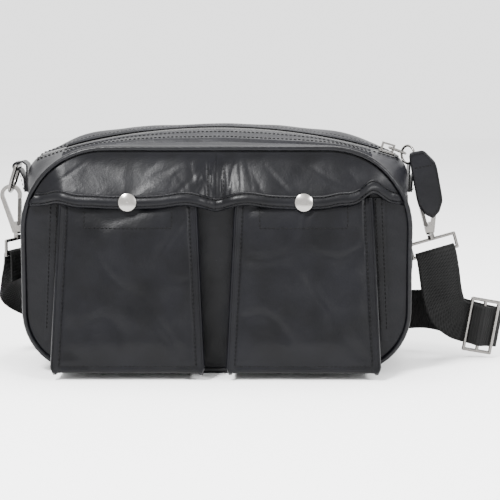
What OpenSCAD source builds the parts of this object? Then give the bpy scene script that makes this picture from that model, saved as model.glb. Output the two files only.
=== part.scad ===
// Soft crossbody bag with a top zip, two bellows pockets under snap flaps and a webbing strap.
// Millimetres, +Z up, front towards -Y, origin on the floor under the middle of the bag.

/* [Body] */
// Width of the body across its side gussets
body_w = 280; // [270:2:290]
// Height of the front and rear panels
body_h = 164; // [158:2:170]
// Depth between the two piping lines
body_d = 90; // [80:2:100]
// Radius of the panels' upper corners
top_r = 60; // [50:1:65]
// Radius of the panels' lower corners
foot_r = 45; // [35:1:50]
// Diameter of the piping
piping_d = 4; // [3:0.5:5]
// Thickness of the panels and gussets
skin = 1.8; // [1.4:0.1:2.2]

/* [Zip] */
// Radius of the crown that the zip runs along
crown_r = 440; // [400:10:480]
// Height of the crown's top above the floor
crown_top = 174; // [170:1:176]
// Distance of the slider from the middle at each end of its travel
zip_reach = 124; // [120:1:125]
// Half of the part of the top that opens
mouth_half = 112; // [108:1:112]

/* [Pockets] */
// Distance of each pocket's middle from the bag's middle
pocket_x = 62; // [61:1:64]
// Width of a pocket at its foot
pocket_foot_w = 108; // [100:1:110]
// Width of a pocket at its mouth
pocket_top_w = 96; // [90:1:100]
// Height of a pocket's mouth above the floor
pocket_top = 128; // [124:1:130]
// How far a pocket stands out at its foot
pocket_foot_d = 29; // [24:1:32]
// How far a pocket stands out at its mouth
pocket_top_d = 11; // [10:1:12]
// Diameter of the snap caps
snap_d = 12.5; // [11:0.5:14]

/* [Strap] */
// Width of the webbing
webbing_w = 30; // [28:1:30]
// Thickness of the webbing
webbing_t = 1.6; // [1.2:0.1:1.6]
// Diameter of the rings' wire
wire_d = 3; // [2.5:0.1:3]

/* [Hidden] */

$fn = 48;
half_w = body_w / 2;
half_d = body_d / 2;
gap = 0.3;
top_c = [half_w - top_r, body_h - top_r];
foot_c = [half_w - foot_r, foot_r];
piping_r = piping_d / 2;
seam_inset = 1.6;
panel_inset = piping_d + 0.05;
gusset_y = half_d - piping_r - 0.1;

// The ridge: the zip's arc, then a tighter corner of its own down to the sides
crown_z = crown_top - crown_r;
ridge_r = 16;
ridge_c = [half_w - ridge_r, crown_z + sqrt(pow(crown_r - ridge_r, 2) - pow(half_w - ridge_r, 2))];
ridge_a = atan2(ridge_c[1] - crown_z, ridge_c[0]);
shoulder_x = mouth_half + 1;
shoulder_z = 126;
slot_y = 8;

// Flap section in the YZ plane
hinge_y = -half_d - 1.9;
hinge_z = body_h - 11;
flap_t = 1.6;
flap_gap = 0.8;
lip_z = pocket_top + 2;
band_h = 9.5;
hem_z = lip_z - band_h - 1.5;
pocket_slope = (pocket_foot_d - pocket_top_d) / (pocket_top - 5);
snap_z = 124.5;
snap_tilt = atan(pocket_slope);

// Rings and hooks
ring_x = half_w + 9;
ring_y = 8;
ring_z = 146;
ring_lean = 17.5;
ring_drop = 20;
hook_l = 31;
hook_t = 4;
hook_lean = [8.2, 5.5];
eye_h = 10.5;
eye_w = webbing_w + 4;
eye_wire = 2.4;
eye_tilt = 16;

// Route of the webbing: place of its middle line, then the direction across its width
strap_route = [
    [198, 9.4, 25, 0.17, 0, 1], [199.9, 10.1, 24.7, 0.17, 0, 1], [200.7, 12, 24.6, 0.17, 0, 1],
    [199.9, 13.9, 24.7, 0.17, 0, 1], [198, 14.8, 25, 0.17, 0, 1],
    [190, 17.6, 26.4, 0.2, 0, 1], [181, 18.6, 29.5, 0.5, 0, 0.85], [173, 18, 36, 0.85, 0, 0.55],
    [168.4, 16, 49, 1, 0, 0.15], [165.4, 13, 67, 1, 0, 0.2], [163.4, 10.7, 77.5, 0.96, 0, 0.28],
    [162.3, 10.5, 81.2, 0.96, 0, 0.28], [161.8, 9.8, 82.9, 0.96, 0, 0.28],
    [161.6, 8, 83.6, 0.96, 0, 0.28], [161.8, 6.2, 82.9, 0.96, 0, 0.28],
    [162.3, 5.5, 81.2, 0.96, 0, 0.28], [163.4, 5.3, 77.5, 0.96, 0, 0.28],
    [165.4, 7, 67, 1, 0, 0.2], [168.4, 10, 49, 1, 0, 0.15], [173, 12.6, 36, 0.85, 0, 0.55],
    [180, 15.2, 29.6, 0.45, 0, 0.85], [184.4, 15.4, 27.6, 0.2, 0, 1],
    [188.2, 15.1, 26.7, 0.17, 0, 1], [193, 11.9, 25.8, 0.17, 0, 1],
    [198, 7, 25, 0.17, 0, 1], [203, 11.8, 24.2, 0.17, 0, 1], [208, 14.8, 23.4, 0.17, 0, 1],
    [211.4, 16.8, 22.8, 0.17, 0, 1], [212.2, 19.2, 22.6, 0.17, 0, 1], [209, 21.4, 23.2, 0.17, 0, 1],
    [195, 24, 26, 0.1, 0, 1], [180, 28, 30, 0, 0, 1], [160, 40, 33, 0, 0, 1],
    [140, 52, 30, 0, 0, 1], [118, 59, 24, 0, 0.35, 0.94], [98, 64, 14, 0, 0.75, 0.66],
    [78, 66, 5, 0, 1, 0.15], [58, 66, 1.4, 0, 1, 0], [0, 66, 1.4, 0, 1, 0],
    [-60, 66, 1.4, 0, 1, 0], [-112, 66, 1.4, 0, 1, 0], [-116, 66, 2.8, 0, 1, 0],
    [-112, 66, 4.2, 0, 1, 0], [-60, 66, 4.2, 0, 1, 0], [-10, 66, 4.2, 0, 1, 0],
    [40, 66, 4.2, 0, 1, 0], [44, 66, 5.6, 0, 1, 0], [40, 66, 7, 0, 1, 0],
    [-10, 66, 7, 0, 1, 0], [-60, 66, 7, 0, 1, 0], [-100, 66, 8, 0, 1, 0.1],
    [-122, 64, 15, -0.1, 0.9, 0.5], [-138, 58, 27, 0.1, 0.85, 0.5], [-150, 48, 40, 0.3, 0.85, 0.4],
    [-157.5, 30, 51, 0.4, 0.9, 0.25], [-156, 15, 62, 0.36, 0.93, 0.15],
    [-153.6, 9.4, 72, 0.35, 0.94, 0], [-153.1, 8.9, 77, 0.35, 0.94, 0],
    [-153, 8.9, 80.7, 0.35, 0.94, 0], [-152.4, 8.6, 82.5, 0.35, 0.94, 0],
    [-150.6, 8, 83.2, 0.35, 0.94, 0], [-148.8, 7.4, 82.5, 0.35, 0.94, 0],
    [-148.2, 7.1, 80.7, 0.35, 0.94, 0], [-148, 7.2, 76, 0.35, 0.94, 0],
    [-148.3, 9, 62, 0.35, 0.94, 0]];

// ---- helpers -------------------------------------------------------------

function unit(v) = v / norm(v);
function arc(c, r, a0, a1, n) = [for (i = [0:n]) let (a = a0 + (a1 - a0) * i / n)
    [c[0] + r * cos(a), c[1] + r * sin(a)]];
function mirrored(points) = [for (i = [len(points) - 1:-1:0]) [-points[i][0], points[i][1]]];
function ring_point(p, y) = [p[0], y, p[1]];
function spline(a, b, c, d, t) = 0.5 * (2 * b + (c - a) * t + (2 * a - 5 * b + 4 * c - d) * t * t
    + (3 * b - a - 3 * c + d) * t * t * t);

// Front edge of the top, from the middle to the end of the mouth strip
function front_top(d, x0, x1, n) = [for (i = [0:n]) let (x = x0 + (x1 - x0) * i / n, r = top_r - d)
    [x, x < top_c[0] ? body_h - d : top_c[1] + sqrt(r * r - pow(x - top_c[0], 2))]];
// The zip's arc over the same stretch
function crown(d, x0, x1, n) = [for (i = [0:n]) let (x = x0 + (x1 - x0) * i / n, r = crown_r - d)
    [x, crown_z + sqrt(r * r - x * x)]];
function front_shoulder(d) = let (r = top_r - d)
    arc(top_c, r, acos((shoulder_x - top_c[0]) / r), asin((shoulder_z - top_c[1]) / r), 8);
function ridge_shoulder(d) = concat(crown(d, shoulder_x, shoulder_x + 8, 1),
    arc(ridge_c, ridge_r - d, ridge_a, 0, 5), [[half_w - d, shoulder_z]]);
function front_side(d) = let (a = asin((shoulder_z - top_c[1]) / (top_r - d)))
    concat(arc(top_c, top_r - d, a, 0, 3), arc(foot_c, foot_r - d, 0, -90, 8));
function ridge_side(d) = concat([for (i = [0:3]) [half_w - d, shoulder_z
    + (top_c[1] - shoulder_z) * i / 3]], arc(foot_c, foot_r - d, 0, -90, 8));

// Closed skin through a row of rings, each an outer line and then its inner line back
module loft(rings) {
    m = len(rings[0]);
    n = len(rings);
    sides = [for (i = [0:n - 2], j = [0:m - 1]) let (a = i * m + j, b = i * m + (j + 1) % m)
        each [[a, b, a + m], [b, b + m, a + m]]];
    end = (n - 1) * m;
    caps = [for (j = [0:m / 2 - 2]) let (k = m - 1 - j) each [[j, k, j + 1], [j + 1, k, k - 1],
        [end + j, end + j + 1, end + k], [end + j + 1, end + k - 1, end + k]]];
    polyhedron(points = [for (r = rings) each r], faces = concat(sides, caps));
}

// Solid of constant thickness along X, Y or Z from a flat outline
module along_y(y0, y1) {
    translate([0, y1, 0]) rotate([90, 0, 0]) linear_extrude(y1 - y0) children();
}
module along_x(x0, x1) {
    translate([x0, 0, 0]) rotate([90, 0, 90]) linear_extrude(x1 - x0) children();
}

// Outline of the front and rear panels, drawn in by d
module outline(d) {
    for (s = [-1, 1]) {
        translate([s * top_c[0], top_c[1]]) circle(top_r - d);
        translate([s * foot_c[0], foot_c[1]]) circle(foot_r - d);
    }
    translate([-top_c[0], d]) square([2 * top_c[0], body_h - 2 * d]);
    translate([d - half_w, foot_c[1]]) square([body_w - 2 * d, top_c[1] - foot_c[1]]);
    translate([-foot_c[0], d]) square([2 * foot_c[0], top_c[1] - d]);
}

// ---- body ----------------------------------------------------------------

module panel(y0) {
    along_y(y0, y0 + skin) outline(panel_inset);
}

module piping(y) {
    translate([0, y, 0]) {
        for (s = [0, 1]) mirror([s, 0, 0]) {
            translate([top_c[0], 0, top_c[1]]) rotate([90, 0, 0]) rotate_extrude(angle = 90)
                translate([top_r - piping_r, 0]) circle(piping_r, $fn = 24);
            translate([foot_c[0], 0, foot_c[1]]) rotate([90, 0, 0]) rotate_extrude(start = -90, angle = 90)
                translate([foot_r - piping_r, 0]) circle(piping_r, $fn = 24);
            translate([half_w - piping_r, 0, foot_c[1]])
                cylinder(r = piping_r, h = top_c[1] - foot_c[1], $fn = 24);
        }
        translate([-top_c[0], 0, body_h - piping_r]) rotate([0, 90, 0])
            cylinder(r = piping_r, h = 2 * top_c[0], $fn = 24);
        translate([-foot_c[0], 0, piping_r]) rotate([0, 90, 0])
            cylinder(r = piping_r, h = 2 * foot_c[0], $fn = 24);
    }
}

// Ring across the bag's depth from an outer and an inner pair of edge and ridge points
function band_ring(edge, ridge, edge_in, ridge_in) = [
    ring_point(edge, -gusset_y), ring_point(ridge, -slot_y), ring_point(ridge, slot_y),
    ring_point(edge, gusset_y), ring_point(edge_in, gusset_y), ring_point(ridge_in, slot_y),
    ring_point(ridge_in, -slot_y), ring_point(edge_in, -gusset_y)];
function band_rings(edge, ridge, edge_in, ridge_in) =
    [for (i = [0:len(edge) - 1]) band_ring(edge[i], ridge[i], edge_in[i], ridge_in[i])];
function round_trip(half) = concat(half, mirrored(half));

module front_panel() { color("#26262a") panel(0.5 - half_d); }

module rear_panel() { color("#26262a") panel(half_d - 0.5 - skin); }

module front_piping() { color("#1d1d20") piping(-half_d); }

module rear_piping() { color("#1d1d20") piping(half_d); }

module side_gusset() {
    d = seam_inset;
    color("#2b2b30") loft(band_rings(round_trip(front_side(d)), round_trip(ridge_side(0)),
        round_trip(front_side(d + skin)), round_trip(ridge_side(skin))));
}

module shoulder() {
    color("#2f2f34") difference() {
        loft(band_rings(front_shoulder(seam_inset), ridge_shoulder(0),
            front_shoulder(seam_inset + skin), ridge_shoulder(skin)));
        translate([mouth_half, 1 - slot_y, shoulder_z]) cube([zip_reach + 8 - mouth_half,
            2 * slot_y - 2, body_h - shoulder_z + 20]);
    }
}

module right_shoulder() { shoulder(); }

module left_shoulder() { mirror([1, 0, 0]) shoulder(); }

module base_board() {
    color("#5a4a3a") translate([8 - foot_c[0], 6 - half_d, 3.6])
        cube([2 * foot_c[0] - 16, body_d - 12, 1.6]);
}

module lining() {
    wall = 0.8;
    d = 6;
    color("#3a3a40") difference() {
        along_y(4 - half_d, half_d - 4) outline(d);
        along_y(4 - half_d + wall, half_d - 4 - wall) outline(d + wall);
        translate([-half_w, -half_d, shoulder_z]) cube([body_w, body_d, 60]);
    }
}

module front_yoke() {
    color("#2b2b30") intersection() {
        along_y(-half_d - 1.6, gap - half_d) outline(panel_inset);
        translate([-half_w, -body_d, hinge_z + 0.6]) cube([body_w, body_d, 60]);
    }
}

// ---- pockets and flaps ---------------------------------------------------

function pocket_y(z) = -half_d - 0.9 - pocket_top_d - (pocket_top - z) * pocket_slope;

module pocket_face(d, top) {
    polygon([[-pocket_foot_w / 2 + d, 5 + d], [pocket_foot_w / 2 - d, 5 + d],
        [pocket_top_w / 2 - d, top], [-pocket_top_w / 2 + d, top]]);
}

module pocket_side(d, back) {
    polygon([[back, 5 + d], [pocket_y(5) + d, 5 + d], [pocket_y(pocket_top) + d, pocket_top],
        [back, pocket_top]]);
}

// Flap section from z0 up to the hinge, between t0 and t1 outside its inner face
module flap_side(t0, t1, z0) {
    lip_y = pocket_y(lip_z) - flap_gap - 0.6;
    hem_y = lip_y - (lip_z - z0) * pocket_slope;
    polygon([[hinge_y + 1 - t0, hinge_z], [lip_y - t0, lip_z], [hem_y - t0, z0],
        [hem_y - t1, z0], [lip_y - t1, lip_z], [hinge_y + 1 - t1, hinge_z]]);
}

module flap(t0, t1, z0, z1, inset) {
    intersection() {
        along_x(0.6 + inset, half_w) flap_side(t0, t1, z0);
        along_y(-body_d, 0) outline(panel_inset + 1 + inset);
        translate([0, -body_d, 0]) cube([half_w, body_d, z1]);
    }
}

module snap_at() {
    translate([pocket_x, pocket_y(snap_z), snap_z]) rotate([90 - snap_tilt, 0, 0]) children();
}

module flap_plate() {
    color("#2c2c31") difference() {
        flap(0, flap_t, hem_z, 200, 0);
        snap_at() cylinder(r = 3.2, h = 12);
    }
}

module flap_band() {
    color("#323237") difference() {
        flap(flap_t + 0.02, flap_t + 1, hem_z, lip_z - 1, 1);
        snap_at() cylinder(r = 3.2, h = 12);
    }
}

// Face of the flap's hem above the pocket at the snap
cap_seat = 0.6 + flap_gap + flap_t + 1;

module snap_cap() {
    r = snap_d / 2;
    color("#b9b4ad") snap_at() translate([0, 0, cap_seat + 0.4]) intersection() {
        translate([0, 0, -14.4]) sphere(16.6, $fn = 64);
        cylinder(r = r, h = 4);
    }
}

module snap_socket() {
    color("#9a958e") snap_at() translate([0, 0, cap_seat - 2.3]) rotate_extrude()
        polygon([[1.9, 0], [2.9, 0], [2.9, 2.65], [0, 2.65], [0, 2.1], [1.9, 2.1]]);
}

module snap_stud() {
    color("#9a958e") snap_at() rotate_extrude()
        polygon([[0, -2.4], [3.6, -2.4], [3.6, -1.9], [1.2, -1.9], [1.2, 0.6], [1.5, 1.2], [1.4, 2.2],
            [0, 2.6]]);
}

module snap_patch() {
    w = 58;
    color("#2a2a2f") difference() {
        intersection() {
            translate([pocket_x - w / 2, -body_d, pocket_top - 20]) cube([w, body_d, 19]);
            along_x(0, half_w) polygon([for (s = [[0, 0], [0, 1], [1, 1], [1, 0]])
                let (z = s[0] == 0 ? pocket_top - 20 : pocket_top - 1)
                [pocket_y(z) + skin + 0.1 + s[1] * 0.8, z]]);
        }
        snap_at() translate([0, 0, -6]) cylinder(r = 3.9, h = 12);
    }
}

module pocket_front() {
    color("#2b2b2f") difference() {
        intersection() {
            translate([pocket_x, 0, 0]) along_y(-body_d - 10, 0) pocket_face(1.9, pocket_top);
            along_x(0, half_w) difference() {
                pocket_side(0, -half_d - 2);
                pocket_side(skin, -half_d);
                translate([-body_d - 10, -1]) square([body_d, 6.9]);
            }
        }
        snap_at() translate([0, 0, -6]) cylinder(r = 1.35, h = 12);
    }
}

module pocket_gusset() {
    color("#242428") difference() {
        intersection() {
            translate([pocket_x, 0, 0]) along_y(-body_d - 10, 0) pocket_face(0, pocket_top);
            along_x(0, half_w) pocket_side(0, -half_d - 0.4);
        }
        translate([pocket_x, 0, 0]) along_y(-body_d - 10, 0) pocket_face(skin, pocket_top + 1);
        along_y(-half_d - piping_r - 0.2, 0) difference() {
            translate([-half_w, 0]) square([body_w, body_h]);
            outline(piping_d + 0.2);
        }
    }
}

// Thin folded edge round the mouth of the pocket
module pocket_binding() {
    color("#1f1f23") intersection() {
        translate([pocket_x, 0, 0]) along_y(-body_d - 10, 0)
            translate([-pocket_top_w / 2 + 3, pocket_top + 0.02]) square([pocket_top_w - 6, 1.4]);
        translate([0, pocket_y(pocket_top) + 0.2, 0]) cube([half_w, 1.5, body_h]);
    }
}

// ---- zip -----------------------------------------------------------------

function strip_ring(edge, ridge, y0, y1, t) = [ring_point(edge, y0), ring_point(ridge, y1),
    ring_point(ridge - [0, t], y1), ring_point(edge - [0, t], y0)];

// Skin that runs from the front piping to the zip, as one side of the mouth
module mouth_strip() {
    n = 14;
    edge = round_strip(front_top(1.6, 0, mouth_half, n));
    ridge = round_strip(crown(0, 0, mouth_half, n));
    color("#3a3a3f") loft([for (i = [0:2 * n]) strip_ring(edge[i], ridge[i], -gusset_y, -slot_y, skin)]);
}
function round_strip(half) = concat(mirrored(half), [for (i = [1:len(half) - 1]) half[i]]);

// Band of the crown's arc, between two radii and two heights across the zip
module crown_band(r0, r1, y0, y1, x0, x1) {
    intersection() {
        translate([0, y1, crown_z]) rotate([90, 0, 0]) difference() {
            cylinder(r = r1, h = y1 - y0, $fn = 360);
            translate([0, 0, -1]) cylinder(r = r0, h = y1 - y0 + 2, $fn = 360);
        }
        translate([x0, y0 - 1, 0]) cube([x1 - x0, y1 - y0 + 2, crown_top + 10]);
    }
}

module tape(y0, y1, x0, x1) {
    crown_band(crown_r - 1.2, crown_r - 0.6, y0, y1, x0, x1);
}

coil_r = 1.15;
module coil(y, x0, x1) {
    a0 = acos(x1 / crown_r);
    a1 = acos(x0 / crown_r);
    translate([0, y, crown_z]) rotate([90, 0, 0]) rotate_extrude(start = a0, angle = a1 - a0, $fn = 240)
        translate([crown_r - 0.9, 0]) circle(coil_r, $fn = 16);
}

coil_y = coil_r + 0.6;
module zip_tape() { color("#1a1a1c") tape(0.05 - slot_y, -coil_y - coil_r - 0.05, -mouth_half, mouth_half); }
module zip_coil() { color("#141416") coil(-coil_y, -mouth_half, mouth_half); }
module zip_end() {
    x1 = zip_reach + 6;
    y1 = slot_y - 1.1;
    color("#1a1a1c") for (s = [0, 1]) mirror([0, s, 0]) {
        tape(coil_y + coil_r + 0.05, y1, mouth_half + 1, x1);
        coil(coil_y, mouth_half + 1, x1);
    }
    color("#1a1a1c") crown_band(crown_r - 1.9, crown_r - 0.3, -y1, y1, x1 + 0.05, x1 + 1.9);
}

// Place on the zip's arc at x, with local Z along the crown's outward normal
module on_crown(x) {
    translate([0, 0, crown_z]) rotate([0, asin(x / crown_r), 0]) translate([0, 0, crown_r - 0.9]) children();
}

module front_zip_strip() { mouth_strip(); }

module rear_zip_strip() { mirror([0, 1, 0]) mouth_strip(); }

module front_zip_tape() { zip_tape(); }

module rear_zip_tape() { mirror([0, 1, 0]) zip_tape(); }

module front_zip_coil() { zip_coil(); }

module rear_zip_coil() { mirror([0, 1, 0]) zip_coil(); }

module right_zip_end() { zip_end(); }

module left_zip_end() { mirror([1, 0, 0]) zip_end(); }

slider_l = 12;
slider_w = 9;
bridge_h = 6;
module zip_slider() {
    color("#a8a29a") on_crown(zip_reach) {
        for (z = [coil_r + gap, -coil_r - gap - 1]) translate([-slider_l / 2, -slider_w / 2, z])
            cube([slider_l, slider_w, 1]);
        translate([slider_l / 2 - 3, -gap, -coil_r - gap - 0.5]) cube([3, 2 * gap, 2 * coil_r + 2 * gap + 1]);
        translate([-slider_l / 2 + 1, -1.2, coil_r + gap + 0.9]) difference() {
            cube([slider_l - 2, 2.4, bridge_h]);
            translate([1.6, -1, -0.5]) cube([slider_l - 5.2, 5, bridge_h - 0.9]);
        }
    }
}

// Height of the pull's pivot above the coil, under the slider's bridge
pull_height = coil_r + gap + 0.9 + bridge_h / 2;
module on_pull() {
    on_crown(zip_reach) translate([1.5, 0, pull_height]) rotate([0, -asin(zip_reach / crown_r), 0])
        children();
}
pull_bar = 0.9;
link_w = 4.2;
link_l = 11.8;
link_drop = 20;
module zip_pull_link() {
    color("#b0aba3") on_pull() rotate([0, link_drop, 0]) {
        for (s = [-1, 1]) translate([0, s * link_w, 0]) rotate([0, 90, 0])
            cylinder(r = pull_bar, h = link_l);
        for (x = [0, link_l]) translate([x, 0, 0]) rotate([90, 0, 0])
            cylinder(r = pull_bar, h = 2 * link_w, center = true);
        for (x = [0, link_l], s = [-1, 1]) translate([x, s * link_w, 0]) sphere(pull_bar, $fn = 24);
    }
}

// The ring hangs in the far end of the link, turned towards the bag's front
ring_major = 6.5;
ring_turn = 50;
ring_reach = 3.1;
module pull_torus(r) {
    on_pull() translate([link_l * cos(link_drop), 0, -link_l * sin(link_drop)]) rotate([0, 0, -ring_turn])
        rotate([0, 16, 0]) translate([ring_major - ring_reach, 0, 0]) rotate([90, 0, 0])
        rotate_extrude() translate([ring_major, 0]) circle(r, $fn = 24);
}

module zip_pull_ring() { color("#b0aba3") pull_torus(pull_bar); }

// Leather tab, folded over the ring and hanging in front of the side hardware
tab_w = 19;
tab_l = 51;
tab_lean = 11;
tab_t = 3;
tab_at = [22, -9, -1.5];
module zip_pull_tab() {
    top_w = 10;
    color("#303035") difference() {
        on_pull() translate(tab_at) rotate([0, -tab_lean, 0]) translate([0, tab_t / 2, 0]) rotate([90, 0, 0])
            linear_extrude(tab_t) polygon([[-top_w / 2 - 3, 0], [top_w / 2 - 3, 0], [tab_w / 2, -11],
                [tab_w / 2, -tab_l + 12], [tab_w / 2 - 4, -tab_l + 4], [0, -tab_l],
                [-tab_w / 2 + 4, -tab_l + 4], [-tab_w / 2, -tab_l + 12], [-tab_w / 2, -3]]);
        pull_torus(pull_bar + 0.2);
    }
}

// ---- rings, hooks and strap ----------------------------------------------

// Leather loop that holds the straight side of a D-ring, with its tail sewn to the shoulder
module ring_loop() {
    w = 18;
    color("#2d2d32") translate([0, ring_y + w / 2, 0]) rotate([90, 0, 0]) linear_extrude(w) difference() {
        union() {
            translate([ring_x, ring_z]) circle(3.4);
            polygon([[half_w + 0.4, ring_z - 19], [half_w + 2.6, ring_z - 19], [ring_x + 3, ring_z - 1.5],
                [ring_x + 1, ring_z + 3.2], [half_w + 1.5, ring_z + 5], [half_w - 0.6, ring_z + 0.5],
                [half_w + 0.4, ring_z - 4]]);
        }
        translate([ring_x, ring_z]) circle(wire_d / 2 + 0.1);
    }
}

module d_ring() {
    half = 11.5;
    r = wire_d / 2;
    straight = ring_drop - half;
    color("#aaa59d") translate([ring_x, ring_y, ring_z]) rotate([0, -ring_lean, 0]) {
        rotate([90, 0, 0]) cylinder(r = r, h = 2 * half, center = true);
        for (s = [-1, 1]) translate([0, s * half, 0]) {
            sphere(r, $fn = 32);
            translate([0, 0, -straight]) cylinder(r = r, h = straight);
        }
        translate([0, 0, -straight]) rotate([0, 90, 0]) rotate([0, 0, -90]) rotate_extrude(angle = 180)
            translate([half, 0]) circle(r, $fn = 32);
    }
}

// Frame of a hook: origin at its swivel, +Z towards the ring it hangs on
ring_foot = [ring_x + ring_drop * sin(ring_lean), ring_y, ring_z - ring_drop * cos(ring_lean)];
module on_hook(lean) {
    translate(ring_foot) rotate([0, -lean, 0]) translate([0, 0, -hook_l]) children();
}

bow_r = 8;
bow_in = 5.2;
bow_z = hook_l + wire_d / 2 + 0.8 - bow_in;
gate_foot = [-2.6, 6.5];
gate_lean = 10.5;
gate_turn = 12;
module gate_shape(grow) {
    translate(gate_foot) rotate(gate_lean) translate([-1.2 - grow, 0]) square([2.4 + 2 * grow, 18.5 + grow]);
    translate(gate_foot) circle(1.7 + grow);
}

module hook_body(lean) {
    color("#a39e96") on_hook(lean) {
        translate([0, hook_t / 2, 0]) rotate([90, 0, 0]) linear_extrude(hook_t) difference() {
            union() {
                translate([0, bow_z]) circle(bow_r);
                polygon([[-7.7, bow_z - 2.2], [-3.2, 0], [3.2, 0], [7.7, bow_z - 2.2]]);
            }
            translate([0, bow_z]) circle(bow_in);
            polygon([[-5, bow_z - 1.4], [-1.2, 8], [1.2, 8], [5, bow_z - 1.4]]);
            for (turn = [0:4:gate_turn]) translate(gate_foot) rotate(-turn) translate(-gate_foot)
                gate_shape(0.3);
        }
        translate([0, 0, -1.2]) cylinder(r = 2.9, h = 1.4);
    }
}

module hook_gate(lean) {
    color("#3b3936") on_hook(lean) {
        translate([0, hook_t / 2 - 0.4, 0]) rotate([90, 0, 0]) linear_extrude(hook_t - 0.8) gate_shape(0);
        translate([gate_foot[0], 0, gate_foot[1] + 7]) rotate([0, -gate_lean, 0]) translate([-2.1, -1.2, 0])
            cube([1.5, 2.4, 6]);
    }
}

module hook_eye(lean, turn, tilt) {
    r = eye_wire / 2;
    color("#a39e96") on_hook(lean) rotate([0, lean, 0]) rotate([0, 0, turn]) rotate([0, -tilt, 0]) {
        translate([0, 0, -5]) cylinder(r = 2.6, h = 3.2);
        for (z = [-5, -5 - eye_h]) {
            translate([0, 0, z]) rotate([0, 90, 0]) cylinder(r = r, h = eye_w, center = true);
            for (s = [-1, 1]) translate([s * eye_w / 2, 0, z]) sphere(r, $fn = 32);
        }
        for (s = [-1, 1]) translate([s * eye_w / 2, 0, -5 - eye_h]) cylinder(r = r, h = eye_h);
    }
}

// Ribbon through the route, with two rings to each stretch
module strap_webbing() {
    n = len(strap_route);
    function pick(i) = strap_route[min(max(i, 0), n - 1)];
    path = [for (i = [0:n - 2], k = [0:norm([for (j = [0:2]) pick(i + 1)[j] - pick(i)[j]]) > 12 ? 1 : 0])
        spline(pick(i - 1), pick(i), pick(i + 1), pick(i + 2), k / 2)];
    mid = concat(path, [pick(n - 1)]);
    last = len(mid) - 1;
    function place(i) = let (m = mid[min(max(i, 0), last)]) [m[0], m[1], m[2]];
    rings = [for (i = [0:last]) let (
        t = unit(place(i + 1) - place(i - 1)),
        w0 = [mid[i][3], mid[i][4], mid[i][5]],
        w = unit(w0 - (w0 * t) * t) * webbing_w / 2,
        h = unit(cross(t, w)) * webbing_t / 2,
        c = place(i)) [c + w + h, c - w + h, c - w - h, c + w - h]];
    color("#1c1c1e") loft(rings);
}

module strap_adjuster() {
    r = 1.3;
    l = webbing_w + 9;
    reach = 10;
    color("#aaa59d") translate([198, 12, 25]) rotate([0, 9.8, 0]) {
        for (x = [-reach, 0, reach]) translate([x, 0, -l / 2]) cylinder(r = r, h = l);
        for (z = [-l / 2, l / 2]) {
            translate([-reach, 0, z]) rotate([0, 90, 0]) cylinder(r = r, h = 2 * reach);
            for (x = [-reach, reach]) translate([x, 0, z]) sphere(r, $fn = 32);
        }
    }
}

module left_flap() { mirror([1, 0, 0]) flap_plate(); }

module right_flap() { flap_plate(); }

module left_flap_band() { mirror([1, 0, 0]) flap_band(); }

module right_flap_band() { flap_band(); }

module left_snap_cap() { mirror([1, 0, 0]) snap_cap(); }

module right_snap_cap() { snap_cap(); }

module left_snap_socket() { mirror([1, 0, 0]) snap_socket(); }

module right_snap_socket() { snap_socket(); }

module left_snap_stud() { mirror([1, 0, 0]) snap_stud(); }

module right_snap_stud() { snap_stud(); }

module left_snap_patch() { mirror([1, 0, 0]) snap_patch(); }

module right_snap_patch() { snap_patch(); }

module left_pocket_front() { mirror([1, 0, 0]) pocket_front(); }

module right_pocket_front() { pocket_front(); }

module left_pocket_gusset() { mirror([1, 0, 0]) pocket_gusset(); }

module right_pocket_gusset() { pocket_gusset(); }

module left_pocket_binding() { mirror([1, 0, 0]) pocket_binding(); }

module right_pocket_binding() { pocket_binding(); }

module left_ring_loop() { mirror([1, 0, 0]) ring_loop(); }

module right_ring_loop() { ring_loop(); }

module left_d_ring() { mirror([1, 0, 0]) d_ring(); }

module right_d_ring() { d_ring(); }

module left_hook_body() { mirror([1, 0, 0]) hook_body(-hook_lean[0]); }

module right_hook_body() { hook_body(hook_lean[1]); }

module left_hook_gate() { mirror([1, 0, 0]) hook_gate(-hook_lean[0]); }

module right_hook_gate() { hook_gate(hook_lean[1]); }

module left_hook_eye() { mirror([1, 0, 0]) hook_eye(-hook_lean[0], 110, 0); }

module right_hook_eye() { hook_eye(hook_lean[1], 0, eye_tilt); }

front_panel();
rear_panel();
front_piping();
rear_piping();
side_gusset();
left_shoulder();
right_shoulder();
base_board();
lining();
front_yoke();
left_flap();
right_flap();
left_flap_band();
right_flap_band();
left_snap_cap();
right_snap_cap();
left_snap_socket();
right_snap_socket();
left_snap_stud();
right_snap_stud();
left_snap_patch();
right_snap_patch();
left_pocket_front();
right_pocket_front();
left_pocket_gusset();
right_pocket_gusset();
left_pocket_binding();
right_pocket_binding();
front_zip_strip();
rear_zip_strip();
front_zip_tape();
rear_zip_tape();
front_zip_coil();
rear_zip_coil();
left_zip_end();
right_zip_end();
zip_slider();
zip_pull_link();
zip_pull_ring();
zip_pull_tab();
left_ring_loop();
right_ring_loop();
left_d_ring();
right_d_ring();
left_hook_body();
right_hook_body();
left_hook_gate();
right_hook_gate();
left_hook_eye();
right_hook_eye();
strap_webbing();
strap_adjuster();
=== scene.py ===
"""Soft leather crossbody bag: the looks of every piece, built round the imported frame."""
import math

import bmesh
import bpy
import numpy as np
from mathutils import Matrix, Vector, noise


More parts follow.
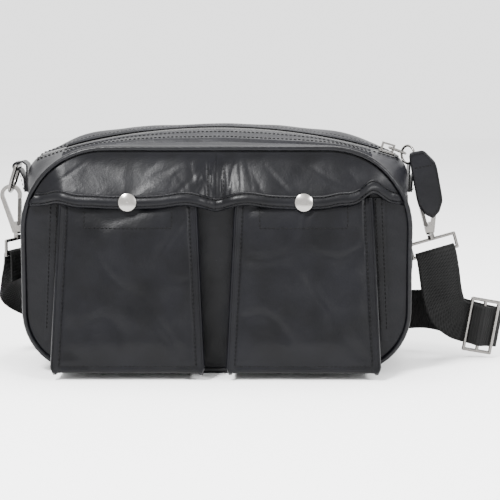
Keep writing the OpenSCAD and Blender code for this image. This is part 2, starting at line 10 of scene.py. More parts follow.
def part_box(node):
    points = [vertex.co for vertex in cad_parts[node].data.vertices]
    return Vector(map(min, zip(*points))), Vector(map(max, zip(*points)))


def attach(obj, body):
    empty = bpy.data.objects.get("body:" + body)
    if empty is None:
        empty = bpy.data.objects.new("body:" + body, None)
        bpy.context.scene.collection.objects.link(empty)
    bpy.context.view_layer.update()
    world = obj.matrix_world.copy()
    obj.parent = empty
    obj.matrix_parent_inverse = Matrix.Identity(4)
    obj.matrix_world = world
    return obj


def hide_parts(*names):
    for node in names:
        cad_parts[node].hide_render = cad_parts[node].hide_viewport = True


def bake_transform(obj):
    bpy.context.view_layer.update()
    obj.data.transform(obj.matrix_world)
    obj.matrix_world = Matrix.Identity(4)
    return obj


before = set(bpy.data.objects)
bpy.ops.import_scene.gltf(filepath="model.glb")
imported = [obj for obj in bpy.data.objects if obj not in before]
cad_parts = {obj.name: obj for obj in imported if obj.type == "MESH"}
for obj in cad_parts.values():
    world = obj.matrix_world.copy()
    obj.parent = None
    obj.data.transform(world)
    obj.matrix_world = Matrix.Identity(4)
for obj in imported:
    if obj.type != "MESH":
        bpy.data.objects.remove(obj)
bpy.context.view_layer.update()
MM = 0.001

# ---- sizes from the frame, in millimetres ----


def box_mm(node):
    low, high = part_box(node)
    return [c / MM for c in low], [c / MM for c in high]


body_low, body_high = box_mm("front_piping")
HALF_W = body_high[0]
BODY_H = body_high[2]
PIPING_R = (body_high[1] - body_low[1]) / 2
PIPING_Y = -(body_high[1] + body_low[1]) / 2
TOP_R, FOOT_R = 60, 45
TOP_C = (HALF_W - TOP_R, BODY_H - TOP_R)
FOOT_C = (HALF_W - FOOT_R, FOOT_R)
SIDE_Y = box_mm("side_gusset")[1][1]
SHOULDER_Z = box_mm("side_gusset")[1][2]
MOUTH_X = box_mm("front_zip_strip")[1][0]
CROWN_TOP = box_mm("front_zip_strip")[1][2]
CROWN_R = 440
CROWN_Z = CROWN_TOP - CROWN_R
RIDGE_R = 16
RIDGE_C = (HALF_W - RIDGE_R, CROWN_Z + math.sqrt((CROWN_R - RIDGE_R) ** 2 - (HALF_W - RIDGE_R) ** 2))
ZIP_EDGE_Y = 8.2
REAR_RISE = 8

POCKET_LOW, POCKET_HIGH = box_mm("right_pocket_gusset")
POCKET_X = (POCKET_LOW[0] + POCKET_HIGH[0]) / 2
POCKET_FOOT_W = POCKET_HIGH[0] - POCKET_LOW[0]
POCKET_TOP_W = POCKET_FOOT_W - 12
POCKET_FOOT, POCKET_TOP = POCKET_LOW[2], POCKET_HIGH[2]
POCKET_FOOT_Y = POCKET_LOW[1]
POCKET_TOP_Y = POCKET_FOOT_Y + 18
FLAP_LOW, FLAP_HIGH = box_mm("right_flap")
HEM_Z = FLAP_LOW[2]
FLAP_END_X = FLAP_HIGH[0]
SNAP_LOW, SNAP_HIGH = box_mm("right_snap_cap")
SNAP_X = (SNAP_LOW[0] + SNAP_HIGH[0]) / 2
SNAP_Z = (SNAP_LOW[2] + SNAP_HIGH[2]) / 2
# Middle of each D-ring's straight side, as in the frame
RING_X, RING_Y, RING_Z = 149, 8, 146
STITCH_PITCH = 3.0
# Distance of a row of stitches from the edge that it runs along
STITCH_IN = 3.2

# ---- small maths ----


def lerp(a, b, t):
    return a + (b - a) * t


def smooth(t):
    t = min(max(t, 0.0), 1.0)
    return t * t * (3 - 2 * t)


def bump(x, centre, width):
    return math.exp(-(((x - centre) / width) ** 2))


def wobble(x, y, z, size, seed=0):
    """Smooth noise, about -1 to 1, with features of the given size."""
    return noise.noise(Vector((x / size + 17.3 * seed, y / size, z / size)))


def creases(x, y, z, size, seed=0):
    """Narrow soft ridges, 0 to 1, as leather makes where it folds."""
    v = abs(noise.noise(Vector((x / size + 31.7 * seed, y / size + 5, z / size))))
    return max(0.0, 1 - 5 * v)


def arc_points(centre, radius, first, last, count):
    step = (last - first) / count
    return [(centre[0] + radius * math.cos(math.radians(first + step * i)),
             centre[1] + radius * math.sin(math.radians(first + step * i))) for i in range(count + 1)]


class Path:
    """A polyline that can be read at any share of its length."""

    def __init__(self, points):
        self.points = np.array(points, float)
        steps = np.linalg.norm(np.diff(self.points, axis=0), axis=1)
        self.places = np.concatenate([[0], np.cumsum(steps)])
        self.length = float(self.places[-1])

    def at(self, share):
        s = min(max(share, 0.0), 1.0) * self.length
        return np.array([np.interp(s, self.places, self.points[:, k]) for k in range(self.points.shape[1])])


def closed_outline(inset):
    """The panels' outline from the middle of the top, clockwise as seen from the front."""
    right = [(0, BODY_H - inset)] + arc_points(TOP_C, TOP_R - inset, 90, 0, 24)
    right += arc_points(FOOT_C, FOOT_R - inset, 0, -90, 20) + [(0, inset)]
    return Path(right + [(-x, z) for x, z in reversed(right[1:-1])] + right[:1])


def half_width(z, inset):
    """Half of the panels' width at height z."""
    if z > TOP_C[1]:
        r = TOP_R - inset
        return TOP_C[0] + math.sqrt(max(r * r - (z - TOP_C[1]) ** 2, 0))
    if z < FOOT_C[1]:
        r = FOOT_R - inset
        return FOOT_C[0] + math.sqrt(max(r * r - (FOOT_C[1] - z) ** 2, 0))
    return HALF_W - inset


def side_angle(radius):
    return math.degrees(math.asin((SHOULDER_Z - TOP_C[1]) / radius))


def edge_paths(inset):
    """The gusset's edge along the piping, in three stretches: top, shoulder, and side with base."""
    r = TOP_R - inset
    start = math.degrees(math.acos((MOUTH_X - TOP_C[0]) / r))
    top = [(0, BODY_H - inset)] + arc_points(TOP_C, r, 90, start, 12)
    shoulder = arc_points(TOP_C, r, start, side_angle(r), 12)
    side = arc_points(TOP_C, r, side_angle(r), 0, 8) + arc_points(FOOT_C, FOOT_R - inset, 0, -90, 16)
    return [Path(top), Path(shoulder), Path(side + [(0, inset)])]


def ridge_paths(inset, base_inset):
    """The gusset's middle line over the same three stretches."""
    r = CROWN_R - inset
    tangent = math.degrees(math.atan2(RIDGE_C[1] - CROWN_Z, RIDGE_C[0]))
    mouth = math.degrees(math.acos(MOUTH_X / r))
    top = arc_points((0, CROWN_Z), r, 90, mouth, 16)
    shoulder = arc_points((0, CROWN_Z), r, mouth, tangent, 4)
    shoulder += arc_points(RIDGE_C, RIDGE_R - inset, tangent, 0, 12) + [(HALF_W - inset, SHOULDER_Z)]
    side = [(HALF_W - inset, SHOULDER_Z)] + arc_points(FOOT_C, FOOT_R - base_inset, 0, -90, 16)
    return [Path(top), Path(shoulder), Path(side + [(0, base_inset)])]


EDGE = edge_paths(1.8)
RIDGE = ridge_paths(0, 1.0)


def rear_rise(y, z):
    """How much the slack rear half swells between the zip and the rear piping, whose edge stays in place."""
    return REAR_RISE * smooth(y / 26) * smooth((SIDE_Y - 0.4 - y) / 12) * smooth((z - 128) / 30)


def band_point(q, y):
    """Point of the bag's gusset: q from 0 at the top's middle to 3 at the base's, signed by side."""
    side = -1 if q < 0 else 1
    q = min(abs(q), 2.9999)
    part, share = int(q), q - int(q)
    edge, ridge = EDGE[part].at(share), RIDGE[part].at(share)
    reach = min(abs(y) / SIDE_Y, 1.0)
    weight = 1 - smooth(reach * 0.96) ** 1.15
    x, z = lerp(edge[0], ridge[0], weight), lerp(edge[1], ridge[1], weight)
    belly = 4.2 * smooth((z - 18) / 45) * smooth((120 - z) / 40) * (1 - reach ** 2)
    x += belly if part == 2 else 0
    if part < 2:
        slack = 1 - abs(2 * reach - 1)
        z += 0.9 * slack * wobble(side * x, y, z, 26, 1)
        x += 0.5 * slack * wobble(side * x, y, z, 18, 2)
    else:
        fold = creases(y * 1.2, 0, z * 0.35, 24, 3 + side)
        x += (1.1 * wobble(y, x, z, 22, 4 + side) - 1.3 * fold) * (1 - reach ** 4) * smooth((z - 8) / 20)
        z += 0.3 * wobble(x, y, z, 20, 6) * (1 - reach ** 4) * smooth((30 - z) / 20)
    return (side * x, y, max(z, 0.25) + rear_rise(y, z))


# ---- mesh building ----


def mesh_object(name, verts, faces, smooth_faces=True):
    mesh = bpy.data.meshes.new(name)
    mesh.from_pydata([tuple(c * MM for c in v) for v in verts], [], faces)
    mesh.update()
    if smooth_faces:
        mesh.polygons.foreach_set("use_smooth", [True] * len(mesh.polygons))
    obj = bpy.data.objects.new(name, mesh)
    bpy.context.scene.collection.objects.link(obj)
    return obj


def bake_modifiers(obj):
    """Leaves the object with its modified mesh and no modifiers."""
    graph = bpy.context.evaluated_depsgraph_get()
    mesh = bpy.data.meshes.new_from_object(obj.evaluated_get(graph))
    obj.modifiers.clear()
    obj.data = mesh
    mesh.polygons.foreach_set("use_smooth", [True] * len(mesh.polygons))
    return crisp(obj)


def crisp(obj, angle=50):
    """Keeps cut edges sharp while the rest shades smoothly."""
    work = bmesh.new()
    work.from_mesh(obj.data)
    for edge in work.edges:
        edge.smooth = len(edge.link_faces) == 2 and edge.calc_face_angle(0) < math.radians(angle)
    work.to_mesh(obj.data)
    work.free()
    return obj


def thicken(obj, thickness, offset=-1.0):
    shell = obj.modifiers.new("thickness", "SOLIDIFY")
    shell.thickness = thickness * MM
    shell.offset = offset
    shell.use_even_offset = False
    return bake_modifiers(obj)


def grid_faces(rows, cols, keep=None, closed=False):
    faces = []
    for i in range(rows - 1):
        for j in range(cols if closed else cols - 1):
            if keep is None or keep(i, j):
                k = (j + 1) % cols
                faces.append((i * cols + j, i * cols + k, (i + 1) * cols + k, (i + 1) * cols + j))
    return faces


def sheet_grid(name, rows, keep=None, thickness=1.6, offset=-1.0, flip=False):
    """A skin through rows of points, given a real thickness."""
    faces = grid_faces(len(rows), len(rows[0]), keep)
    if flip:
        faces = [tuple(reversed(f)) for f in faces]
    obj = mesh_object(name, [p for row in rows for p in row], faces)
    return thicken(drop_loose(obj), thickness, offset)


def drop_loose(obj):
    """Drops points that no face uses."""
    used = sorted({v for p in obj.data.polygons for v in p.vertices})
    if len(used) == len(obj.data.vertices):
        return obj
    new = {v: i for i, v in enumerate(used)}
    verts = [tuple(obj.data.vertices[v].co) for v in used]
    faces = [[new[v] for v in p.vertices] for p in obj.data.polygons]
    mesh = bpy.data.meshes.new(obj.name)
    mesh.from_pydata(verts, [], faces)
    mesh.polygons.foreach_set("use_smooth", [True] * len(mesh.polygons))
    obj.data = mesh
    return obj


def tube_rows(points, radius, sides):
    """Rings round a line of points; radius may be a number or a function of the ring's index."""
    pts = np.array(points, float)
    rows = []
    for i, p in enumerate(pts):
        t = pts[min(i + 1, len(pts) - 1)] - pts[max(i - 1, 0)]
        t /= np.linalg.norm(t)
        a = np.array([0.0, 1.0, 0.0])
        a = a - t * (a @ t)
        a /= np.linalg.norm(a)
        b = np.cross(t, a)
        r = radius(i) if callable(radius) else radius
        rows.append([tuple(p + r * (math.cos(w) * a + math.sin(w) * b))
                     for w in (2 * math.pi * k / sides for k in range(sides))])
    return rows


def tube(name, points, radius, sides=12, closed=False):
    rows = tube_rows(points, radius, sides)
    if closed:
        rows.append(rows[0])
    verts = [p for row in rows for p in row]
    faces = grid_faces(len(rows), sides, closed=True)
    if not closed:
        faces += [tuple(range(sides))[::-1], tuple(range(len(verts) - sides, len(verts)))]
    obj = mesh_object(name, verts, faces)
    if closed:
        weld = obj.modifiers.new("weld", "WELD")
        weld.merge_threshold = 0.01 * MM
        bake_modifiers(obj)
    return obj


# Length of a stitch and radius of its thread
STITCH_L, STITCH_R = 2.2, 0.36


def stitch_mesh(name, runs, pitch=STITCH_PITCH):
    """Rows of raised thread stitches. A run is (points, normals), with the normals away from the skin."""
    verts, faces = [], []
    shape = [(-0.5, 0.1, -0.9), (-0.3, 0.85, -0.1), (0, 1, 0.25), (0.3, 0.85, -0.1), (0.5, 0.1, -0.9)]
    sides = 6
    for points, normals in runs:
        path, facing = Path(points), np.array(normals, float)
        count = max(int(path.length / pitch), 1)
        for i in range(count):
            share = (i + 0.5) / count
            p = path.at(share)
            ahead = path.at(min(share + 0.3 / path.length, 1)) - path.at(max(share - 0.3 / path.length, 0))
            t = ahead / max(np.linalg.norm(ahead), 1e-9)
            row = np.searchsorted(path.places, share * path.length) - 1
            n = facing[min(max(row, 0), len(facing) - 1)]
            n = n - t * (n @ t)
            n /= max(np.linalg.norm(n), 1e-9)
            b = np.cross(t, n)
            base = len(verts)
            for along, size, height in shape:
                c = p + t * along * STITCH_L + n * (0.22 + height * 0.18)
                for k in range(sides):
                    w = 2 * math.pi * k / sides
                    verts.append(tuple(c + STITCH_R * size * (math.cos(w) * n + math.sin(w) * b)))
            rings = len(shape)
            for r in range(rings - 1):
                for k in range(sides):
                    m = (k + 1) % sides
                    faces.append((base + r * sides + k, base + r * sides + m,
                                  base + (r + 1) * sides + m, base + (r + 1) * sides + k))
            faces.append(tuple(base + k for k in reversed(range(sides))))
            faces.append(tuple(base + (rings - 1) * sides + k for k in range(sides)))
    return mesh_object(name, verts, faces)


# ---- materials ----


class Nodes:
    """Short calls for building a material's nodes."""

    def __init__(self, name):
        self.material = bpy.data.materials.new(name)
        self.material.use_nodes = True
        self.tree = self.material.node_tree
        self.shader = self.tree.nodes["Principled BSDF"]
        self.place = self.tree.nodes.new("ShaderNodeTexCoord").outputs["Object"]

    def add(self, kind, inputs=(), **settings):
        node = self.tree.nodes.new(kind)
        for key, value in settings.items():
            setattr(node, key, value)
        for key, value in dict(inputs).items():
            if isinstance(value, bpy.types.NodeSocket):
                self.tree.links.new(value, node.inputs[key])
            else:
                node.inputs[key].default_value = value
        return node

    def noise(self, scale, detail=3.0):
        return self.add("ShaderNodeTexNoise", {"Vector": self.place, "Scale": scale, "Detail": detail,
                                               "Roughness": 0.5}).outputs["Fac"]

    def ramp(self, value, low, high, first, last):
        node = self.add("ShaderNodeValToRGB", {"Fac": value})
        ends = node.color_ramp.elements
        ends[0].position, ends[1].position = low, high
        ends[0].color, ends[1].color = first, last
        return node.outputs["Color"]

    def spread(self, value, low, high):
        return self.add("ShaderNodeMapRange", {"Value": value, "From Min": 0.3, "From Max": 0.7,
                                               "To Min": low, "To Max": high}).outputs["Result"]

    def bump(self, height, strength, distance, before=None):
        inputs = {"Height": height, "Strength": strength, "Distance": distance}
        if before is not None:
            inputs["Normal"] = before
        return self.add("ShaderNodeBump", inputs).outputs["Normal"]

    def link(self, key, value):
        if isinstance(value, bpy.types.NodeSocket):
            self.tree.links.new(value, self.shader.inputs[key])
        else:
            self.shader.inputs[key].default_value = value


def grey(v, tint=(1, 1, 1)):
    return (v * tint[0], v * tint[1], v * tint[2], 1)


COOL = (0.9, 0.92, 1.25)


def leather(name, dark=0.0014, light=0.0034, rough=(0.3, 0.41), grain=0.18, shine=0.12):
    """Smooth coated leather: fine pebble grain, soft pull lines and uneven polish."""
    m = Nodes(name)
    m.link("Base Color", m.ramp(m.noise(38, 4), 0.3, 0.72, grey(dark, COOL), grey(light, COOL)))
    m.link("Roughness", m.spread(m.noise(70, 4), *rough))
    m.link("Specular IOR Level", shine)
    pebble = m.add("ShaderNodeTexVoronoi", {"Vector": m.place, "Scale": 1150.0},
                   feature="SMOOTH_F1").outputs["Distance"]
    pores = m.bump(pebble, grain, 0.00022)
    pull = m.bump(m.noise(330, 5), 0.22, 0.0004, pores)
    m.link("Normal", m.bump(m.noise(75, 3), 0.3, 0.0011, pull))
    return m.material


def woven(name, colour, across, along, rough=0.8, sheen=0.25):
    """Plain woven fabric: warp and weft ribs in object space."""
    m = Nodes(name)
    warp = m.add("ShaderNodeTexWave", {"Vector": m.place, "Scale": across, "Distortion": 0.3},
                 wave_type="BANDS", bands_direction="X").outputs["Fac"]
    weft = m.add("ShaderNodeTexWave", {"Vector": m.place, "Scale": along, "Distortion": 0.3},
                 wave_type="BANDS", bands_direction="DIAGONAL").outputs["Fac"]
    both = m.add("ShaderNodeMath", {0: warp, 1: weft}, operation="MULTIPLY").outputs["Value"]
    m.link("Base Color", m.ramp(both, 0.1, 0.9, grey(colour * 0.6), grey(colour * 1.5)))
    m.link("Roughness", m.spread(m.noise(120), rough - 0.08, rough + 0.08))
    m.link("Sheen Weight", sheen)
    m.link("Sheen Roughness", 0.5)
    m.link("Normal", m.bump(both, 0.6, 0.0003))
    return m.material


def webbing():
    """Strap webbing: ribs across its width, worked out along the strap's own length."""
    m = Nodes("webbing")
    uv = m.tree.nodes.new("ShaderNodeTexCoord").outputs["UV"]
    rib = m.add("ShaderNodeTexWave", {"Vector": uv, "Scale": 125.0, "Distortion": 0.5, "Detail": 1.0},
                wave_type="BANDS", bands_direction="X").outputs["Fac"]
    twill = m.add("ShaderNodeTexWave", {"Vector": uv, "Scale": 260.0, "Distortion": 0.4},
                  wave_type="BANDS", bands_direction="DIAGONAL").outputs["Fac"]
    both = m.add("ShaderNodeMath", {0: rib, 1: twill}, operation="ADD").outputs["Value"]
    m.link("Base Color", m.ramp(both, 0.2, 1.5, grey(0.0015), grey(0.006)))
    m.link("Roughness", m.spread(m.noise(90), 0.62, 0.8))
    m.link("Specular IOR Level", 0.1)
    m.link("Sheen Weight", 0.02)
    m.link("Sheen Roughness", 0.45)
    m.link("Normal", m.bump(both, 0.55, 0.0004))
    return m.material


def metal(name, colour, rough=(0.16, 0.3), tint=(1.04, 1.0, 0.95)):
    """Plated metal with faint polishing marks and uneven tarnish."""
    m = Nodes(name)
    m.link("Base Color", m.ramp(m.noise(160, 4), 0.3, 0.7, grey(colour * 0.82, tint), grey(colour, tint)))
    m.link("Metallic", 1.0)
    m.link("Roughness", m.spread(m.noise(420, 5), *rough))
    m.link("Normal", m.bump(m.noise(900, 3), 0.08, 0.0001))
    return m.material


def thread():
    m = Nodes("thread")
    m.link("Base Color", m.ramp(m.noise(900, 2), 0.3, 0.7, grey(0.0025), grey(0.007)))
    m.link("Specular IOR Level", 0.08)
    m.link("Roughness", m.spread(m.noise(700), 0.5, 0.65))
    twist = m.add("ShaderNodeTexWave", {"Vector": m.place, "Scale": 900.0}, wave_type="BANDS",
                  bands_direction="DIAGONAL").outputs["Fac"]
    m.link("Normal", m.bump(twist, 0.5, 0.0001))
    return m.material


def plastic(name, colour, rough=(0.4, 0.55)):
    m = Nodes(name)
    m.link("Base Color", m.ramp(m.noise(300), 0.3, 0.7, grey(colour * 0.8), grey(colour * 1.2)))
    m.link("Roughness", m.spread(m.noise(500), *rough))
    m.link("Normal", m.bump(m.noise(1200), 0.15, 0.0001))
    return m.material


LOOKS = {
    "leather": leather("leather"),
    "piping": leather("piping_leather", 0.0014, 0.0036, (0.28, 0.38), 0.12, 0.17),
    # The zip strips and shoulders use the body leather with its colour painted lighter: painted light on the
    # top band that faces up to the lamps
    "zip_strip": leather("strip_leather_painted_lighter", 0.003, 0.006, (0.34, 0.44), 0.18, 0.17),
    "zip_tape": woven("zip_tape", 0.012, 160, 240, 0.75),
    "zip_coil": plastic("zip_coil", 0.010),
    "hardware": metal("plated_hardware", 0.15, (0.2, 0.32)),
    "hook_trigger": metal("dark_trigger", 0.05, (0.25, 0.4)),
    "snap": metal("snap_cap", 0.30, (0.16, 0.26)),
    "webbing": webbing(),
    "lining": woven("lining", 0.03, 210, 330, 0.7, 0.4),
    "board": plastic("fibre_board", 0.09, (0.7, 0.85)),
    "strap_metal": metal("ring_wire", 0.14, (0.2, 0.32)),
}
THREAD = thread()


def piece(obj, slot, body, *replaced):
    """Gives a piece its look, its body and the CAD nodes it stands for."""
    obj.data.materials.clear()
    obj.data.materials.append(LOOKS[slot])
    if body:
        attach(obj, body)
    if replaced:
        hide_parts(*replaced)
    return obj


def stitches(name, runs, body, pitch=STITCH_PITCH):
    obj = stitch_mesh(name, runs, pitch)
    obj.data.materials.append(THREAD)
    if body:
        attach(obj, body)
    return obj


def steps(a, b, n):
    return [lerp(a, b, i / n) for i in range(n + 1)]


# ---- camera, light and floor ----


def make_camera():
    data = bpy.data.cameras.new("camera")
    data.sensor_width, data.lens = 36, 114.5
    cam = bpy.data.objects.new("camera", data)
    cam.location = (0.0335, -1.173, 0.232)
    cam.rotation_euler = (math.radians(90 - 7.2), 0, math.radians(0.48))
    bpy.context.scene.collection.objects.link(cam)
    bpy.context.scene.camera = cam


def area_light(name, place, target, size, power):
    data = bpy.data.lights.new(name, "AREA")
    data.shape, data.size, data.energy = "DISK", size, power
    lamp = bpy.data.objects.new(name, data)
    lamp.location = place
    lamp.rotation_euler = (Vector(target) - Vector(place)).to_track_quat("-Z", "Y").to_euler()
    bpy.context.scene.collection.objects.link(lamp)


def make_studio():
    world = bpy.data.worlds.new("studio")
    world.use_nodes = True
    world.node_tree.nodes["Background"].inputs["Color"].default_value = (1, 1, 1, 1)
    world.node_tree.nodes["Background"].inputs["Strength"].default_value = 2.3
    bpy.context.scene.world = world
    middle = (0, 0, 0.08)
    area_light("key", (-0.55, -0.9, 1.25), middle, 0.4, 62)
    area_light("fill", (1.0, -1.0, 0.8), middle, 0.35, 24)
    area_light("top", (0.1, 0.25, 1.3), middle, 0.8, 22)
    floor = mesh_object("floor", [(-3000, -3000, 0), (3000, -3000, 0), (3000, 3000, 0), (-3000, 3000, 0)],
                        [(0, 1, 2, 3)], False)
    pale = Nodes("pale_floor")
    pale.link("Base Color", pale.ramp(pale.noise(3), 0.3, 0.7, grey(0.90), grey(0.93)))
    pale.link("Roughness", 0.9)
    floor.data.materials.append(pale.material)


# ---- strap ----

WEBBING_W, WEBBING_T = 30, 1.6
# Place of the webbing's middle line, then the direction across its width: the frame's own route
STRAP_ROUTE = [
    (198, 9.4, 25, 0.17, 0, 1), (199.9, 10.1, 24.7, 0.17, 0, 1), (200.7, 12, 24.6, 0.17, 0, 1),
    (199.9, 13.9, 24.7, 0.17, 0, 1), (198, 14.8, 25, 0.17, 0, 1),
    (190, 17.6, 26.4, 0.2, 0, 1), (181, 18.6, 29.5, 0.5, 0, 0.85), (173, 18, 36, 0.85, 0, 0.55),
    (168.4, 16, 49, 1, 0, 0.15), (165.4, 13, 67, 1, 0, 0.2), (163.4, 10.7, 77.5, 0.96, 0, 0.28),
    (162.3, 10.5, 81.2, 0.96, 0, 0.28), (161.8, 9.8, 82.9, 0.96, 0, 0.28),
    (161.6, 8, 83.6, 0.96, 0, 0.28), (161.8, 6.2, 82.9, 0.96, 0, 0.28),
    (162.3, 5.5, 81.2, 0.96, 0, 0.28), (163.4, 5.3, 77.5, 0.96, 0, 0.28),
    (165.4, 7, 67, 1, 0, 0.2), (168.4, 10, 49, 1, 0, 0.15), (173, 12.6, 36, 0.85, 0, 0.55),
    (180, 15.2, 29.6, 0.45, 0, 0.85), (184.4, 15.4, 27.6, 0.2, 0, 1),
    (188.2, 15.1, 26.7, 0.17, 0, 1), (193, 11.9, 25.8, 0.17, 0, 1),
    (198, 7, 25, 0.17, 0, 1), (203, 11.8, 24.2, 0.17, 0, 1), (208, 14.8, 23.4, 0.17, 0, 1),
    (211.4, 16.8, 22.8, 0.17, 0, 1), (212.2, 19.2, 22.6, 0.17, 0, 1), (209, 21.4, 23.2, 0.17, 0, 1),
    (195, 24, 26, 0.1, 0, 1), (180, 28, 30, 0, 0, 1), (160, 40, 33, 0, 0, 1),
    (140, 52, 30, 0, 0, 1), (118, 59, 24, 0, 0.35, 0.94), (98, 64, 14, 0, 0.75, 0.66),
    (78, 66, 5, 0, 1, 0.15), (58, 66, 1.4, 0, 1, 0), (0, 66, 1.4, 0, 1, 0),
    (-60, 66, 1.4, 0, 1, 0), (-112, 66, 1.4, 0, 1, 0), (-116, 66, 2.8, 0, 1, 0),
    (-112, 66, 4.2, 0, 1, 0), (-60, 66, 4.2, 0, 1, 0), (-10, 66, 4.2, 0, 1, 0),
    (40, 66, 4.2, 0, 1, 0), (44, 66, 5.6, 0, 1, 0), (40, 66, 7, 0, 1, 0),
    (-10, 66, 7, 0, 1, 0), (-60, 66, 7, 0, 1, 0), (-100, 66, 8, 0, 1, 0.1),
    (-122, 64, 15, -0.1, 0.9, 0.5), (-138, 58, 27, 0.1, 0.85, 0.5), (-150, 48, 40, 0.3, 0.85, 0.4),
    (-157.5, 30, 51, 0.4, 0.9, 0.25), (-156, 15, 62, 0.36, 0.93, 0.15),
    (-153.6, 9.4, 72, 0.35, 0.94, 0), (-153.1, 8.9, 77, 0.35, 0.94, 0),
    (-153, 8.9, 80.7, 0.35, 0.94, 0), (-152.4, 8.6, 82.5, 0.35, 0.94, 0),
    (-150.6, 8, 83.2, 0.35, 0.94, 0), (-148.8, 7.4, 82.5, 0.35, 0.94, 0),
    (-148.2, 7.1, 80.7, 0.35, 0.94, 0), (-148, 7.2, 76, 0.35, 0.94, 0),
    (-148.3, 9, 62, 0.35, 0.94, 0),
]


def spline_path(route, longest=4.0):
    """Smooth line through the route, as points and width directions."""
    pts = np.array(route, float)
    out = []
    for i in range(len(pts) - 1):
        a, b, c, d = pts[max(i - 1, 0)], pts[i], pts[i + 1], pts[min(i + 2, len(pts) - 1)]
        count = max(int(np.linalg.norm(c[:3] - b[:3]) / longest), 2)
        for k in range(count):
            t = k / count
            out.append(0.5 * (2 * b + (c - a) * t + (2 * a - 5 * b + 4 * c - d) * t * t
                              + (3 * b - a - 3 * c + d) * t ** 3))
    return np.array(out + [pts[-1]])


def make_strap():
    line = spline_path(STRAP_ROUTE)
    across = [-1, -0.97, -0.9, -0.86, -0.6, -0.3, 0, 0.3, 0.6, 0.86, 0.9, 0.97, 1]
    thick = [0.35, 0.85, 1, 0.8, 0.86, 0.88, 0.88, 0.88, 0.86, 0.8, 1, 0.85, 0.35]
    section = list(zip(across, thick)) + [(a, -t) for a, t in reversed(list(zip(across, thick)))]
    verts, places, length = [], [], 0.0
    for i, row in enumerate(line):
        p = row[:3]
        t = line[min(i + 1, len(line) - 1)][:3] - line[max(i - 1, 0)][:3]
        t /= np.linalg.norm(t)
        w = row[3:] - t * (row[3:] @ t)
        w /= np.linalg.norm(w)
        n = np.cross(t, w)
        length += np.linalg.norm(p - line[max(i - 1, 0)][:3])
        for a, b in section:
            verts.append(tuple(p + w * a * WEBBING_W / 2 + n * b * WEBBING_T / 2))
            places.append((length * MM, a * WEBBING_W / 2 * MM))
    count = len(section)
    faces = grid_faces(len(line), count, closed=True)
    faces += [tuple(range(count)), tuple(range(len(verts) - count, len(verts)))[::-1]]
    strap = mesh_object("strap", verts, faces)
    layer = strap.data.uv_layers.new(name="along")
    for loop in strap.data.loops:
        layer.data[loop.index].uv = places[loop.vertex_index]
    piece(strap, "webbing", "root", "strap_webbing")
    print("strap length in metres:", round(length * MM, 3))
    tail = line[-7:-1]
    points, normals = [], []
    for row, after in zip(tail, line[-6:]):
        t = after[:3] - row[:3]
        n = np.cross(t, row[3:])
        n /= np.linalg.norm(n)
        n = -n if n[0] < 0 else n
        points.append(row[:3] + n * 0.7)
        normals.append(n)
    runs = []
    for side in (-11, 11):
        runs.append(([p + r[3:] / np.linalg.norm(r[3:]) * side for p, r in zip(points, tail)], normals))
    stitches("strap_end_stitches", runs, "root", 2.4)


# ---- body skins ----


def panel_rows(face_y, puff):
    """Rings of the panel from its seam to its middle; puff is how far it swells at a place."""
    outline = closed_outline(3.4)
    sign = 1 if face_y > 0 else -1
    rows = []
    for r in [1, 0.985, 0.96, 0.93] + steps(0.89, 0.04, 22) + [0.001]:
        row = []
        for k in range(200):
            x, z = outline.at(k / 200)
            x, z = x * r, BODY_H / 2 + (z - BODY_H / 2) * r
            y = face_y + sign * puff(x, z, r)
            row.append((x, y, z + rear_rise(y, z)))
        rows.append(row + row[:1])
    return rows


def rear_puff(x, z, r):
    swell = 5.0 * (1 - r ** 3) * (0.75 + 0.25 * smooth(z / 90))
    soft = 0.9 * wobble(x, 0, z, 45, 9) - 0.8 * creases(x * 0.6, 0, z, 40, 8) * smooth((1 - r) * 5)
    return max(swell + soft * smooth((1 - r) * 8), -0.2)


def front_puff(x, z, r):
    return 0.4 * smooth((1 - r) * 10) + 0.25 * wobble(x, 0, z, 30, 11)


def make_panels():
    front = sheet_grid("front_skin", panel_rows(-44.7, front_puff), thickness=1.4, flip=True)
    piece(front, "leather", "root", "front_panel")
    rear = sheet_grid("rear_skin", panel_rows(44.7, rear_puff), thickness=1.4)
    piece(rear, "leather", "root", "rear_panel")


def make_piping():
    for name, y in (("front_piping", -PIPING_Y), ("rear_piping", PIPING_Y)):
        outline = closed_outline(PIPING_R)
        points = []
        for k in range(420):
            x, z = outline.at(k / 420)
            lift = 0.25 * wobble(x, y, z, 30, 12)
            points.append((x + lift * x / HALF_W, y, max(z + lift, PIPING_R + 0.1) + rear_rise(y, z)))
        welt = tube(name + "_welt", points, lambda i: PIPING_R + 0.07 * math.sin(i * 1.9), 12, True)
        piece(welt, "piping", "root", name)


def gusset_rows(first, last, count, ys):
    return [[band_point(lerp(first, last, i / count), y) for y in ys] for i in range(count + 1)]


def make_gusset():
    ys = steps(-SIDE_Y, SIDE_Y, 40)
    right = gusset_rows(2.0, 2.9999, 90, ys)
    left = gusset_rows(-2.9999, -2.0, 90, ys)
    skin = sheet_grid("gusset_skin", right + left, thickness=1.4, flip=True)
    piece(skin, "leather", "root", "side_gusset")
    runs = []
    for side in (-1, 1):
        for y in (-SIDE_Y + STITCH_IN, SIDE_Y - STITCH_IN):
            line = [(side * q, y) for q in steps(2.01, 2.62, 60)]
            runs.append(outward_run(band_point, line))
    stitches("gusset_stitches", runs, "root")


def outward_run(surface, params, middle=(0, 0, 80)):
    """A run along a surface whose normals point away from the bag's middle."""
    points, normals = [], []
    for a, b in params:
        p = np.array(surface(a, b))
        da = np.array(surface(a + 0.01, b)) - p
        db = np.array(surface(a, b + 0.5)) - p
        n = np.cross(da, db)
        n /= max(np.linalg.norm(n), 1e-9)
        n = -n if n @ (p - np.array(middle)) < 0 else n
        points.append(p)
        normals.append(n)
    return points, normals


